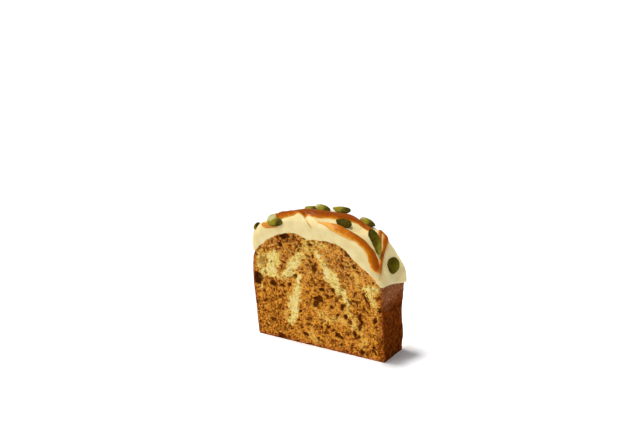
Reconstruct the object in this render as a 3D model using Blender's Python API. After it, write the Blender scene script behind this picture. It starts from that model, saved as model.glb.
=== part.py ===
# An upright slice of iced pumpkin bread, in metres, +Z up.
# The origin is the middle of the slice's base. +X runs to the right along the front cut face.

import math
import random

import bmesh
import bpy
from mathutils import Matrix, Vector, noise

# Driving dimensions, in metres
MM = 0.001
DEPTH = 25.3 * MM          # front to back at the base
LEAN = 0.0402              # how far the front cut comes forward for each metre of height
FLARE = 2.2 * MM           # how much further its upper right side reaches at the back cut
FLARE_FROM = (22 * MM, 18 * MM)    # place across and up where that starts
FLARE_TO = 46 * MM                 # and where it is full, both across and up
FOOT_FLARE = 1.6 * MM      # how much further its right foot reaches at the back cut
FOOT_HEIGHT = 15 * MM      # how high up that is
FOOT_SPREAD = 10 * MM      # and how far it spreads up and down
GAP = 0.3 * MM             # clear space between crumb and icing
CRUST_STEP = 3.6 * MM      # spacing of the points round the crumb's outline
CRUST_RELIEF = 0.45 * MM   # how far the baked crust is dented
SLICE_STATIONS = 7         # rings of points from the front cut to the back cut

# The crumb's outline seen from the front, in mm: up the left side, over the uneven dome, down the right side
CRUMB_OUTLINE = [(-50.4, 0), (-51.7, 20), (-52.7, 40), (-52.3, 55), (-49.6, 63.5), (-44.5, 69.5), (-37, 75.5),
                 (-27, 81), (-17, 83), (-7.5, 81), (5, 82), (15, 81.8), (23, 78.2), (31, 70.8), (40, 65),
                 (46, 59.5), (49.6, 52.5), (49.2, 40), (49.4, 20), (50, 0)]
ICING_FROM = 4             # the crumb's outline point where the icing starts, at the left
ICING_TO_FRONT = 15.55     # where it ends at the right, at the front cut
ICING_TO_BACK = 16.25      # and at the back cut, where it hangs lower

# The icing's outer outline at the front cut and at the back cut, in mm, from the left end to the right end
ICING_FRONT = [(-52.8, 62), (-53.8, 69), (-51.8, 76), (-46.2, 82), (-38, 87), (-28, 91.2), (-16, 94.4),
               (-5, 94.2), (10, 91.6), (22, 88.6), (31.5, 84.6), (38, 78.6), (43, 71), (47.3, 63), (50.4, 55.5)]
ICING_BACK = [(-51.9, 62), (-52.2, 68.5), (-50.4, 75), (-45.5, 80.6), (-38, 85.4), (-28, 89.2), (-16, 91.8),
              (-5, 92.2), (10, 90.8), (22, 88.2), (32, 84.3), (39.4, 78.2), (46, 70.8), (51.8, 62),
              (52.4, 51.5)]
ICING_RINGS = 52           # rings of points along the icing
ICING_EDGE_FRONT = 5.0 * MM
ICING_EDGE_BACK = 4.5 * MM
SWIPE_DEPTH = 0.55 * MM    # height of the knife's marks
RIDGE = 1.4 * MM           # height of the long swell near the back cut
RIDGE_SPAN = (0.38, 0.45, 0.74, 0.84)      # where along the icing it rises, is full, starts to sink and ends
RIDGE_PLACE = (0.87, 0.13)                 # where it lies from front to back, and its half width, as shares

# Each seed: its blunt end and its tip, both as run along the icing from its left end, place from front to
# back and height over the icing, in mm, then its roll about its own length in degrees, its width and thickness
SEEDS = [
    ((41.2, -12.6, 2.4), (48.0, -17.4, 1.4), -30, 9.8, 4.6),
    ((25.0, -13.2, 1.2), (28.2, -8.6, 1.1), -36, 6.0, 3.0),
    ((54.8, 4.5, 0.9), (64.0, 7.6, 0.6), 0, 7.0, 2.6),
    ((63.6, 5.0, 2.4), (72.6, 6.0, 1.2), 16, 7.8, 3.2),
    ((79.8, 11.0, 3.4), (72.4, 9.6, 1.6), -38, 7.6, 3.2),
    ((87.6, -2.6, 1.5), (80.0, -6.2, 1.5), -14, 7.2, 2.8),
    ((87.2, 10.4, 1.6), (97.8, 8.8, 1.4), 20, 7.6, 3.0),
    ((98.2, 1.8, 3.4), (115.8, -5.6, 2.2), 66, 8.0, 3.0),
    ((121.2, 5.4, 1.2), (132.2, -2.6, 1.1), 16, 8.8, 3.0),
]

# Each ribbon of caramel: points of run, place from front to back and half width, in mm
CARAMEL = [
    [(39, -11.5, 2.0), (43, -11, 3.0), (47, -10, 3.8), (51.5, -8.7, 4.4), (55.8, -7.1, 4.2), (59, -5.8, 3.9),
     (62.5, -5.8, 4.2), (68.8, -3.7, 4.8), (72.8, -0.2, 4.6), (76.5, 3.2, 4.2), (80.5, 6.2, 3.6),
     (84.5, 7.3, 2.8), (88, 6.9, 2.5), (91.2, 6.3, 2.2), (94.9, 5.7, 2.1), (98.4, 5.1, 1.8), (100.6, 5.1, 1.1)],
    [(73.6, -14.4, 0.8), (77, -13.9, 1.4), (80.2, -13.3, 2.4), (83.9, -12.4, 3.4), (87.9, -11.6, 3.9),
     (92.7, -11, 4.1), (97.8, -10.7, 3.9), (103.7, -10.6, 3.8), (108.8, -10.5, 4.0), (113.1, -10.7, 4.1),
     (117, -11.2, 3.7), (120.9, -12.1, 2.7), (124.4, -12.8, 1.6), (127.1, -13, 0.9)],
    [(113, -1.8, 0.9), (107, 4, 1.4), (102.4, 8.2, 1.6), (103.4, 10.2, 1.8), (107, 8.8, 1.9), (111, 4, 1.9),
     (116, -1, 1.6), (120, -5.4, 1.4), (125, -9.8, 1.2), (129, -12.2, 0.8)],
]
CARAMEL_SINK = 0.5         # share of a ribbon's half width that its middle lies under the icing's surface

# The hollows that show most in the front cut, in mm and degrees: place across and up, half sizes, tilt
HOLLOWS = [
    (-47.4, 44, 3.4, 5.0, 0), (-42.5, 60.5, 2.6, 3.6, 10), (-25.5, 79, 3.6, 2.4, 0), (-30, 72, 1.6, 1.3, 0),
    (-2.5, 60.5, 1.5, 5.5, -8), (-0.5, 35, 5.4, 2.6, 38), (-20, 56.5, 1.5, 1.5, 0), (20.5, 28, 2.2, 2.0, 0),
    (32.5, 27, 1.5, 8.0, -4), (15, 13, 2.6, 2.1, -25), (-12, 8, 3.2, 1.7, 0), (-32, 2.8, 2.2, 1.6, 0),
    (33, 3.4, 1.4, 2.6, 0), (43, 29, 1.7, 1.6, 0), (42, 9.5, 1.6, 1.5, 0), (18, 34, 1.5, 2.0, 0),
    (37, 44, 1.0, 6.5, 32), (-16, 24, 1.6, 1.5, 0), (-12, 66, 1.4, 1.6, 0), (28, 66.5, 2.4, 1.4, -25),
    (-35, 41, 1.9, 1.2, -20), (2.5, 44.5, 1.9, 1.3, 20),
]
HOLLOW_DEPTH = 0.8         # depth of a hollow as a share of its smaller half size
PORE_COUNT = 24            # smaller pores on each cut
PORE_SIZES = (0.9, 1.7)    # their half sizes, in mm
PORE_SPACING = 6.5         # least distance between any two openings, in mm

# Principled materials: base colour (linear), roughness, metallic
CRUMB_LOOK = ((0.42, 0.20, 0.05, 1.0), 0.85, 0.0)
ICING_LOOK = ((0.84, 0.72, 0.42, 1.0), 0.45, 0.0)


def clear_scene():
    """Removes what the scene holds, so that the script can be run again."""
    for thing in list(bpy.data.objects):
        bpy.data.objects.remove(thing, do_unlink=True)
    for group in list(bpy.data.collections):
        bpy.data.collections.remove(group)


def new_collection(name):
    group = bpy.data.collections.new(name)
    bpy.context.scene.collection.children.link(group)
    return group


def new_material(name, look):
    """A Principled material with its own colour, roughness and metallic value."""
    colour, roughness, metallic = look
    material = bpy.data.materials.new(name)
    material.use_nodes = True
    shader = material.node_tree.nodes["Principled BSDF"]
    shader.inputs["Base Color"].default_value = colour
    shader.inputs["Roughness"].default_value = roughness
    shader.inputs["Metallic"].default_value = metallic
    material.diffuse_color = colour
    return material


def new_object(name, bm, group):
    """Turns a closed bmesh into an object of that name, with its faces pointing out."""
    bmesh.ops.recalc_face_normals(bm, faces=bm.faces)
    if bm.calc_volume(signed=True) < 0:
        bmesh.ops.reverse_faces(bm, faces=bm.faces)
    mesh = bpy.data.meshes.new(name)
    bm.to_mesh(mesh)
    bm.free()
    thing = bpy.data.objects.new(name, mesh)
    group.objects.link(thing)
    return thing


def spline(points, t):
    """The smooth curve through the points at t, where t counts the points passed."""
    last = len(points) - 1
    i = min(max(int(math.floor(t)), 0), last - 1)
    f = t - i
    p0, p1, p2, p3 = (points[min(max(k, 0), last)] for k in (i - 1, i, i + 1, i + 2))
    return tuple(b + 0.5 * (c - a) * f + 0.5 * (2 * a - 5 * b + 4 * c - d) * f ** 2
                 + 0.5 * (3 * b - a - 3 * c + d) * f ** 3
                 for a, b, c, d in zip(p0, p1, p2, p3))


def smooth_step(a, b, x):
    f = min(max((x - a) / (b - a), 0.0), 1.0)
    return f * f * (3 - 2 * f)


def front_y(z):
    """Where the front cut lies at a height: it leans forward a little."""
    return -DEPTH / 2 - LEAN * z


def depth_point(x, z, share):
    """The point at a share of the way from the front cut to the back cut, which is wider at the right."""
    y = front_y(z) + share * (DEPTH / 2 - front_y(z))
    wider = FLARE * smooth_step(FLARE_FROM[1], FLARE_TO, z)
    wider += FOOT_FLARE * math.exp(-((z - FOOT_HEIGHT) / FOOT_SPREAD) ** 2)
    return Vector((x + share * wider * smooth_step(FLARE_FROM[0], FLARE_TO, x), y, z))


def even_stations(points, start, end, spacing):
    """Spline positions from one outline point to another, about evenly spaced along the curve."""
    fine = [start + (end - start) * k / 600 for k in range(601)]
    spots = [Vector(spline(points, t)) for t in fine]
    run = [0.0]
    for a, b in zip(spots, spots[1:]):
        run.append(run[-1] + (b - a).length * MM)
    count = max(2, round(run[-1] / spacing))
    result = []
    k = 0
    for n in range(count + 1):
        goal = run[-1] * n / count
        while k < 599 and run[k + 1] < goal:
            k += 1
        f = (goal - run[k]) / (run[k + 1] - run[k])
        result.append(fine[k] + f * (fine[k + 1] - fine[k]))
    return result


def under_icing(t):
    return ICING_FROM - 0.6 < t < ICING_TO_BACK + 1.0


def crumb_slab(group):
    """The bare slice: the outline carried from the front cut to the back cut, with a dented crust."""
    last = len(CRUMB_OUTLINE) - 1
    stations = even_stations(CRUMB_OUTLINE, 0, last, CRUST_STEP)
    bm = bmesh.new()
    rings = []
    for s in range(SLICE_STATIONS):
        ring = []
        for n, t in enumerate(stations):
            x, z = (c * MM for c in spline(CRUMB_OUTLINE, t))
            spot = depth_point(x, z, s / (SLICE_STATIONS - 1))
            base = n in (0, len(stations) - 1)
            if not under_icing(t) and 0 < s < SLICE_STATIONS - 1:
                dent = noise.noise(spot * 190) * CRUST_RELIEF
                spot.x -= math.copysign(max(dent, -0.3 * CRUST_RELIEF), x)
            if base:
                spot.z = 0.0
            ring.append(bm.verts.new(spot))
        rings.append(ring)
    bm.faces.new(rings[0])
    bm.faces.new(list(reversed(rings[-1])))
    for near, far in zip(rings, rings[1:]):
        for k in range(len(near)):
            j = (k + 1) % len(near)
            bm.faces.new((near[k], far[k], far[j], near[j]))
    return new_object("crumb", bm, group)


def hollow_cutter(name, x, z, half_x, half_z, tilt, depth, back, group, detail):
    """An uneven rounded lump, half sunk in a cut face."""
    bm = bmesh.new()
    bmesh.ops.create_icosphere(bm, subdivisions=detail, radius=1.0)
    phase = Vector((x * 0.37, z * 0.23, 3.1 if back else 0.0))
    for v in bm.verts:
        v.co *= 1 + 0.28 * noise.noise(v.co * 1.3 + phase)
    size = Matrix.Diagonal((half_x * MM, depth * MM, half_z * MM, 1.0))
    turn = Matrix.Rotation(math.radians(-tilt), 4, "Y")
    place = depth_point(x * MM, z * MM, 1.0 if back else 0.0)
    bm.transform(Matrix.Translation(place) @ turn @ size)
    cutter = new_object(name, bm, group)
    cutter.hide_render = True
    cutter.display_type = "WIRE"
    return cutter


def inside_crumb(x, z, margin):
    """Whether a place on a cut face lies inside the outline by a margin, all in mm."""
    if not margin < z < 80 - margin or abs(x) > 49.5 - margin:
        return False
    top = [spline(CRUMB_OUTLINE, ICING_FROM + (ICING_TO_BACK - ICING_FROM) * k / 60) for k in range(61)]
    near = min(top, key=lambda p: abs(p[0] - x))
    return z < near[1] - margin


def cut_openings(crumb, group):
    """Cuts the hollows and pores into both cut faces; the back cut has the front's kind in other places."""
    rng = random.Random(31)
    for back in (False, True):
        spots = []
        for k, (x, z, half_x, half_z, tilt) in enumerate(HOLLOWS):
            if back:
                x = -0.9 * x + 3.0
                z = 72 - 0.86 * z
                tilt = 180 - tilt
                if not inside_crumb(x, z, max(half_x, half_z) + 1.5):
                    continue
            small = min(half_x, half_z)
            detail = 2 if small > 2.2 else 1
            depth = HOLLOW_DEPTH * small + 0.6
            hollow_cutter(f"hollow_{int(back)}_{k}", x, z, half_x, half_z, tilt, depth, back, group, detail)
            spots.append((x, z, max(half_x, half_z)))
        count = 0
        while count < PORE_COUNT:
            x = rng.uniform(-47, 47)
            z = rng.uniform(3, 79)
            size = rng.uniform(*PORE_SIZES)
            clear = all(math.hypot(x - a, z - b) > max(PORE_SPACING, r + size + 1.0) for a, b, r in spots)
            if not clear or not inside_crumb(x, z, 3.0):
                continue
            tall = rng.uniform(0.8, 1.5)
            turn = rng.uniform(0, 180)
            name = f"pore_{int(back)}_{count}"
            hollow_cutter(name, x, z, size, size * tall, turn, size * 0.9, back, group, 1)
            spots.append((x, z, size * tall))
            count += 1
    apply_boolean(crumb, group, "DIFFERENCE", "EXACT")


def apply_boolean(thing, group, operation, solver):
    """One Boolean on a collection, applied, and the collection's objects removed."""
    step = thing.modifiers.new("joined", "BOOLEAN")
    step.operation = operation
    step.operand_type = "COLLECTION"
    step.collection = group
    step.solver = solver
    bpy.context.view_layer.update()
    graph = bpy.context.evaluated_depsgraph_get()
    mesh = bpy.data.meshes.new_from_object(thing.evaluated_get(graph))
    thing.modifiers.remove(step)
    thing.data = mesh
    for part in list(group.objects):
        bpy.data.objects.remove(part, do_unlink=True)


def icing_pair(u, share):
    """The inner and the outer point of the icing at u of its length, at a share of the slice's depth."""
    icing_to = ICING_TO_FRONT + (ICING_TO_BACK - ICING_TO_FRONT) * share
    t_in = ICING_FROM + (icing_to - ICING_FROM) * u
    x, z = spline(CRUMB_OUTLINE, t_in)
    x2, z2 = spline(CRUMB_OUTLINE, t_in + 0.01)
    slope = Vector((x2 - x, z2 - z)).normalized()
    inner = Vector((x, z)) * MM + Vector((-slope.y, slope.x)) * GAP
    t_out = (len(ICING_FRONT) - 1) * u
    front = Vector(spline(ICING_FRONT, t_out)) * MM
    back = Vector(spline(ICING_BACK, t_out)) * MM
    outer = front.lerp(back, smooth_step(0.35, 1.0, share))
    return inner, outer


def swipe(u, share):
    """The height that the knife's marks add at a place of the icing."""
    waves = math.sin(19 * u + 5.5 * share) + 0.7 * math.sin(11 * u - 9 * share + 1.7)
    edge = smooth_step(0.0, 0.12, u) * smooth_step(0.0, 0.1, 1 - u)
    rise, full, sink, end = RIDGE_SPAN
    middle, half_width = RIDGE_PLACE
    ridge = smooth_step(rise, full, u) * (1 - smooth_step(sink, end, u))
    ridge *= math.exp(-((share - middle) / half_width) ** 2)
    return SWIPE_DEPTH * waves * edge + RIDGE * ridge


def icing_surface(u, depth):
    """A point of the icing's top, at u of its length and a distance from the middle of the base's depth."""
    inner, outer = icing_pair(u, 0.5)
    y0 = front_y(outer.y)
    share = (depth - y0) / (DEPTH / 2 - y0)
    share = min(max(share, 0.0), 1.0)
    inner, outer = icing_pair(u, share)
    thick = outer - inner
    full = thick.length + swipe(u, share)
    width = DEPTH / 2 - y0
    lift = 1.0
    for edge, radius in ((share * width, ICING_EDGE_FRONT), ((1 - share) * width, ICING_EDGE_BACK)):
        reach = min(radius, 0.9 * full)
        if edge < reach:
            f = 1 - edge / reach
            lift -= (1 - math.sqrt(max(1 - f * f, 0.0))) * reach / full
    spot = inner + thick.normalized() * full * lift
    return depth_point(spot.x, spot.y, share)


def icing_shell(group):
    """The icing: a ring of points across it, carried over the dome from its left end to its right end."""
    bm = bmesh.new()
    rings = []
    sides = (0.0, 0.014, 0.05, 0.105, 0.18, 0.28, 0.39, 0.5, 0.61, 0.72, 0.815, 0.885, 0.94, 0.98, 1.0)
    for k in range(ICING_RINGS):
        u = k / (ICING_RINGS - 1)
        ring = []
        inner, outer = icing_pair(u, 0.5)
        y0 = front_y(outer.y)
        for share in sides:
            ring.append(bm.verts.new(icing_surface(u, y0 + share * (DEPTH / 2 - y0))))
        for share in (1.0, 0.75, 0.5, 0.25, 0.0):
            low = icing_pair(u, share)[0]
            ring.append(bm.verts.new(depth_point(low.x, low.y, share)))
        rings.append(ring)
    bm.faces.new(rings[0])
    bm.faces.new(list(reversed(rings[-1])))
    for near, far in zip(rings, rings[1:]):
        for k in range(len(near)):
            j = (k + 1) % len(near)
            bm.faces.new((near[k], far[k], far[j], near[j]))
    bmesh.ops.triangulate(bm, faces=bm.faces)
    return new_object("frosting", bm, group)


def icing_length():
    """The length of the icing's outer outline at the front cut, in mm."""
    last = len(ICING_FRONT) - 1
    spots = [Vector(spline(ICING_FRONT, last * k / 400)) for k in range(401)]
    return sum((b - a).length for a, b in zip(spots, spots[1:]))


def icing_spot(run, depth, length):
    """A place on the icing's top given by its run in mm and its depth in mm, with the directions there."""
    u = min(max(run / length, 0.005), 0.995)
    spot = icing_surface(u, depth * MM)
    ahead = icing_surface(min(u + 0.01, 1.0), depth * MM)
    along = (ahead - icing_surface(u - 0.005, depth * MM)).normalized()
    across = (icing_surface(u, (depth + 1) * MM) - icing_surface(u, (depth - 1) * MM)).normalized()
    up = along.cross(across).normalized()
    return spot, along, up.cross(along).normalized(), up


def pumpkin_seed(name, seed, length, group):
    """A flat seed with a blunt end and a tip, laid between two places over the icing."""
    blunt, tip, roll, width, thickness = seed
    ends = []
    for run, depth, height in (blunt, tip):
        spot, along, across, up = icing_spot(run, depth, length)
        ends.append((spot + up * height * MM, up))
    axis = ends[1][0] - ends[0][0]
    forward = axis.normalized()
    side = (ends[0][1] + ends[1][1]).cross(forward).normalized()
    up = forward.cross(side)
    bm = bmesh.new()
    bmesh.ops.create_uvsphere(bm, u_segments=10, v_segments=7, radius=0.5)
    bm.transform(Matrix.Rotation(math.radians(90), 4, "Y"))
    for v in bm.verts:
        taper = 1 - 0.42 * max(v.co.x * 2, 0.0) ** 2
        v.co.y *= taper
        v.co.z *= taper
    size = Matrix.Diagonal((axis.length, width * MM, thickness * MM, 1.0))
    frame = Matrix((forward, side, up)).transposed().to_4x4()
    turn = Matrix.Rotation(math.radians(roll), 4, "X")
    bm.transform(Matrix.Translation((ends[0][0] + ends[1][0]) / 2) @ frame @ turn @ size)
    return new_object(name, bm, group)


def caramel_ribbon(name, places, length, group):
    """A rounded bead of caramel laid on the icing along a smooth path, wider and narrower on its way."""
    steps = 4 * (len(places) - 1)
    curve = bpy.data.curves.new(name, "CURVE")
    curve.dimensions = "3D"
    curve.bevel_depth = 1.0
    curve.bevel_resolution = 1
    curve.use_fill_caps = True
    line = curve.splines.new("POLY")
    line.points.add(steps)
    for k in range(steps + 1):
        run, depth, half_width = spline(places, k / 4)
        spot, along, across, up = icing_spot(run, depth, length)
        radius = half_width * MM
        line.points[k].co = (*(spot - up * CARAMEL_SINK * radius), 1.0)
        line.points[k].radius = radius
    rope = bpy.data.objects.new(name, curve)
    group.objects.link(rope)
    bpy.context.view_layer.update()
    graph = bpy.context.evaluated_depsgraph_get()
    mesh = bpy.data.meshes.new_from_object(rope.evaluated_get(graph))
    bpy.data.objects.remove(rope, do_unlink=True)
    bm = bmesh.new()
    bm.from_mesh(mesh)
    bmesh.ops.remove_doubles(bm, verts=bm.verts, dist=0.00001)
    return new_object(name, bm, group)


def dress_icing(icing, group):
    """Fuses the caramel and the seeds to the icing."""
    length = icing_length()
    for k, places in enumerate(CARAMEL):
        caramel_ribbon(f"ribbon_{k}", places, length, group)
    for k, seed in enumerate(SEEDS):
        pumpkin_seed(f"seed_{k}", seed, length, group)
    apply_boolean(icing, group, "UNION", "MANIFOLD")


def main():
    clear_scene()
    loaf = new_collection("pumpkin_bread_slice")
    tools = new_collection("cutters")
    crumb = crumb_slab(loaf)
    cut_openings(crumb, tools)
    crumb.data.materials.clear()
    crumb.data.materials.append(new_material("crumb", CRUMB_LOOK))
    icing = icing_shell(loaf)
    dress_icing(icing, tools)
    icing.data.materials.clear()
    icing.data.materials.append(new_material("icing", ICING_LOOK))
    return crumb, icing


main()
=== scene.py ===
# Dresses the slice of iced pumpkin bread: crumb, icing, caramel, seeds, floor, lights and camera.
import math

import bpy
import numpy as np
from mathutils import Matrix, Vector
from mathutils.kdtree import KDTree


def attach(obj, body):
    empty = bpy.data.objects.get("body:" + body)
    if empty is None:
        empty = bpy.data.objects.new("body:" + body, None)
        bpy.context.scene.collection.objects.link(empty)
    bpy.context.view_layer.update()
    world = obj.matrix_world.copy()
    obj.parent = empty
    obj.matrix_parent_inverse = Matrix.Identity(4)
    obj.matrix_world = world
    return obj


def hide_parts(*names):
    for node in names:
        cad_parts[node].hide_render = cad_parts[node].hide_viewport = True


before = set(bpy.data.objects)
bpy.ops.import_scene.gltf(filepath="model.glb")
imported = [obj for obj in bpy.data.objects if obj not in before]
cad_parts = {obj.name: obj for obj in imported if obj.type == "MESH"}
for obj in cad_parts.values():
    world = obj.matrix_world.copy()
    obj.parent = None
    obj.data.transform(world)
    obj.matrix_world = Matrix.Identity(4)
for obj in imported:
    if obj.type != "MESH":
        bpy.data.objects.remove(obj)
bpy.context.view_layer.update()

# Shapes are worked out in mm, as places across, from front to back and up, and made in metres
MM = 0.001

# The solid's driving sizes: its depth at the base, and how far its front cut leans forward per mm of height
DEPTH = 25.3
LEAN = 0.0402

# Towards its back the slice gets wider on its right, by FLARE above the heights given and by FOOT_FLARE round
# FOOT_HEIGHT. Both grow in between two places across.
FLARE = 2.2
FLARE_HEIGHTS = (18, 46)
FOOT_FLARE = 1.6
FOOT_HEIGHT = 15
FOOT_SPREAD = 10
FLARE_ACROSS = (22, 46)

# The crumb's outline from its bottom left over its dome to its bottom right, across and up
CRUMB_OUTLINE = [
    (-50.4, 0), (-51.7, 20), (-52.7, 40), (-52.3, 55), (-49.6, 63.5), (-44.5, 69.5), (-37, 75.5), (-27, 81),
    (-17, 83), (-7.5, 81), (5, 82), (15, 81.8), (23, 78.2), (31, 70.8), (40, 65), (46, 59.5), (49.6, 52.5),
    (49.2, 40), (49.4, 20), (50, 0),
]
# Where on that outline the icing starts and ends, and where the dome does, counted in its points from 0
ICING_FROM = 4
ICING_TO_FRONT = 15.55
ICING_TO_BACK = 16.25
TOP_END = 16
# The icing's outer outline at the front cut and at the back cut, and the radii of its edges there
ICING_FRONT = [
    (-52.8, 62), (-53.8, 69), (-51.8, 76), (-46.2, 82), (-38, 87), (-28, 91.2), (-16, 94.4), (-5, 94.2),
    (10, 91.6), (22, 88.6), (31.5, 84.6), (38, 78.6), (43, 71), (47.3, 63), (50.4, 55.5),
]
ICING_BACK = [
    (-51.9, 62), (-52.2, 68.5), (-50.4, 75), (-45.5, 80.6), (-38, 85.4), (-28, 89.2), (-16, 91.8), (-5, 92.2),
    (10, 90.8), (22, 88.2), (32, 84.3), (39.4, 78.2), (46, 70.8), (51.8, 62), (52.4, 51.5),
]
ICING_EDGE_FRONT = 5.0
ICING_EDGE_BACK = 4.5

# Camera, as fitted to the slice's base corners and upright edges, in degrees, metres and mm of lens
CAMERA_AZIMUTH = 31.33
CAMERA_ELEVATION = 21.30
CAMERA_ROLL = -1.08
CAMERA_DISTANCE = 1.231
CAMERA_AIM = (-0.0053, 0.0882)
CAMERA_LENS = 100.0
CAMERA_SENSOR = 36

# The suns' azimuth, height, strength and spread, with angles in degrees
SUNS = [("top", -84, 77, 2.48, 12), ("front", -34, 26, 0.8, 30)]
WORLD_STRENGTH = 0.36
# The floor's reach, its glow in front of the slice, and where that grows towards the slice, grows from the
# left and fades at the right, in metres
FLOOR_REACH = 8.0
FLOOR_GLOW = 0.3
GLOW_AHEAD = (-0.036, -0.012)
GLOW_LEFT = (-0.07, -0.05)
GLOW_RIGHT = (0.046, 0.052)

# Mesh densities
CURVE_SAMPLES = 1500
FACE_COLUMNS = 230
FACE_ROWS = 165
CRUST_RINGS = 27
ICING_ALONG = 300
ICING_ACROSS = 84
WALL_STEPS = 12            # rows up the icing's cut face
RIBBON_PROFILE = 17        # points across a ribbon's top
RIBBON_STEPS = 9           # points along it between two of its table's rows
SEED_RINGS = 26
SEED_SIDES = 28


# Curves and noise

def spline(points, t):
    """Points of the smooth curve through the given ones, where t counts the points passed."""
    p = np.asarray(points, float)
    last = len(p) - 1
    t = np.asarray(t, float)
    i = np.clip(np.floor(t).astype(int), 0, last - 1)
    f = (t - i)[..., None]
    a, b, c, d = (p[np.clip(i + k, 0, last)] for k in (-1, 0, 1, 2))
    bend = 2 * a - 5 * b + 4 * c - d
    twist = 3 * b - a - 3 * c + d
    return 0.5 * (2 * b + (c - a) * f + bend * f * f + twist * f ** 3)


def run_along(points):
    """How far along a line each of its points lies."""
    return np.concatenate([[0], np.cumsum(np.linalg.norm(np.diff(points, axis=0), axis=1))])


def even_along(points, start, end, count):
    """Evenly spaced points of a stretch of the smooth curve."""
    t = np.linspace(start, end, CURVE_SAMPLES)
    fine = spline(points, t)
    run = run_along(fine)
    return spline(points, np.interp(np.linspace(0, run[-1], count + 1), run, t))


def unit(ways):
    """Directions made 1 long."""
    return ways / np.linalg.norm(ways, axis=-1)[..., None]


def ramp(a, b, x):
    """Rises smoothly from 0 at a to 1 at b."""
    f = np.clip((x - a) / (b - a), 0.0, 1.0)
    return f * f * (3 - 2 * f)


def blend(a, b, f):
    """Goes from a to b as f goes from 0 to 1."""
    return a + (b - a) * f


def value_noise(x, z, size, seed):
    """Smooth noise from -1 to 1 whose bumps are about size wide."""
    table = np.random.default_rng(seed).uniform(-1, 1, (64, 64))
    u = x / size
    v = z / size
    iu = np.floor(u).astype(int)
    iv = np.floor(v).astype(int)
    fu = u - iu
    fv = v - iv
    fu = fu * fu * (3 - 2 * fu)
    fv = fv * fv * (3 - 2 * fv)
    a = table[iu % 64, iv % 64]
    b = table[(iu + 1) % 64, iv % 64]
    c = table[iu % 64, (iv + 1) % 64]
    d = table[(iu + 1) % 64, (iv + 1) % 64]
    return (a * (1 - fu) + b * fu) * (1 - fv) + (c * (1 - fu) + d * fu) * fv


def fractal(x, z, size, seed, octaves=3):
    """Layers of smooth noise, each half the size and half the height of the last."""
    total = 0.0
    for k in range(octaves):
        total = total + value_noise(x, z, size / 2 ** k, seed + k) / 2 ** k
    return total


def cells(x, z, size, seed):
    """Distance to the nearest of scattered points, in cells, and that point's random value."""
    rng = np.random.default_rng(seed)
    jitter = rng.uniform(0.08, 0.92, (64, 64, 2))
    value = rng.uniform(0, 1, (64, 64))
    u = x / size
    v = z / size
    iu = np.floor(u).astype(int)
    iv = np.floor(v).astype(int)
    near = np.full(np.shape(u), 9.0)
    pick = np.zeros(np.shape(u))
    for a in (-1, 0, 1):
        for b in (-1, 0, 1):
            spot = jitter[(iu + a) % 64, (iv + b) % 64]
            gap = np.hypot(iu + a + spot[..., 0] - u, iv + b + spot[..., 1] - v)
            closer = gap < near
            near = np.where(closer, gap, near)
            pick = np.where(closer, value[(iu + a) % 64, (iv + b) % 64], pick)
    return near, pick


def off_segment(x, z, start, end):
    """How far along a segment the nearest point to each place is, from 0 to 1, and how far off it is."""
    dx = end[0] - start[0]
    dz = end[1] - start[1]
    f = np.clip(((x - start[0]) * dx + (z - start[1]) * dz) / (dx * dx + dz * dz), 0, 1)
    return f, np.hypot(x - start[0] - f * dx, z - start[1] - f * dz)


def stroke(x, z, points):
    """How far places lie outside a stroke of varying half width, negative inside it."""
    best = np.full(np.shape(x), 1e9)
    for a, b in zip(points, points[1:]):
        f, away = off_segment(x, z, a, b)
        best = np.minimum(best, away - blend(a[2], b[2], f))
    return best


# Meshes

def make_piece(name, spots, faces, uvs, values, material):
    """A mesh object from points in mm, arrays of faces with their bake places, and values at its points."""
    mesh = bpy.data.meshes.new(name)
    spots = np.asarray(spots, float) * MM
    mesh.vertices.add(len(spots))
    mesh.vertices.foreach_set("co", spots.astype(np.float32).ravel())
    corners = np.concatenate([f.ravel() for f in faces]).astype(np.int32)
    sizes = np.concatenate([np.full(len(f), f.shape[1]) for f in faces])
    mesh.loops.add(len(corners))
    mesh.loops.foreach_set("vertex_index", corners)
    mesh.polygons.add(len(sizes))
    mesh.polygons.foreach_set("loop_start", np.concatenate([[0], np.cumsum(sizes)[:-1]]).astype(np.int32))
    mesh.polygons.foreach_set("use_smooth", np.ones(len(sizes), bool))
    bake = mesh.uv_layers.new(name="OFBake")
    bake.data.foreach_set("uv", np.concatenate([u.reshape(-1, 2) for u in uvs]).astype(np.float32).ravel())
    for key, value in values.items():
        layer = mesh.attributes.new(key, "FLOAT", "POINT")
        layer.data.foreach_set("value", np.asarray(value, np.float32).ravel())
    mesh.update(calc_edges=True)
    mesh.validate()
    piece = bpy.data.objects.new(name, mesh)
    bpy.context.scene.collection.objects.link(piece)
    mesh.materials.append(material)
    return piece


def grid_faces(ids):
    """Quads between neighbouring entries of a two-way table of point numbers."""
    return np.stack([ids[:-1, :-1], ids[1:, :-1], ids[1:, 1:], ids[:-1, 1:]], -1).reshape(-1, 4)


def quad_places(u, v):
    """Bake places of the same quads, from the tables' own places."""
    table = np.stack(np.broadcast_arrays(u, v), -1)
    return np.stack([table[:-1, :-1], table[1:, :-1], table[1:, 1:], table[:-1, 1:]], 2).reshape(-1, 4, 2)


def closed_piece(name, table, u, values, material):
    """A piece from a two-way table of points whose rows are closed rings, with flat ends."""
    ids = np.arange(table.shape[0] * table.shape[1]).reshape(table.shape[:2])
    closed = np.concatenate([ids, ids[:, :1]], 1)
    faces = [grid_faces(closed)[:, ::-1], ids[:1, :], ids[-1:, ::-1]]
    uv = quad_places(u[:, None], np.linspace(0.02, 0.98, closed.shape[1])[None, :])
    uvs = [uv[:, ::-1], np.full((1, ids.shape[1], 2), 0.01), np.full((1, ids.shape[1], 2), 0.99)]
    return make_piece(name, table.reshape(-1, 3), faces, uvs, values, material)


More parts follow.
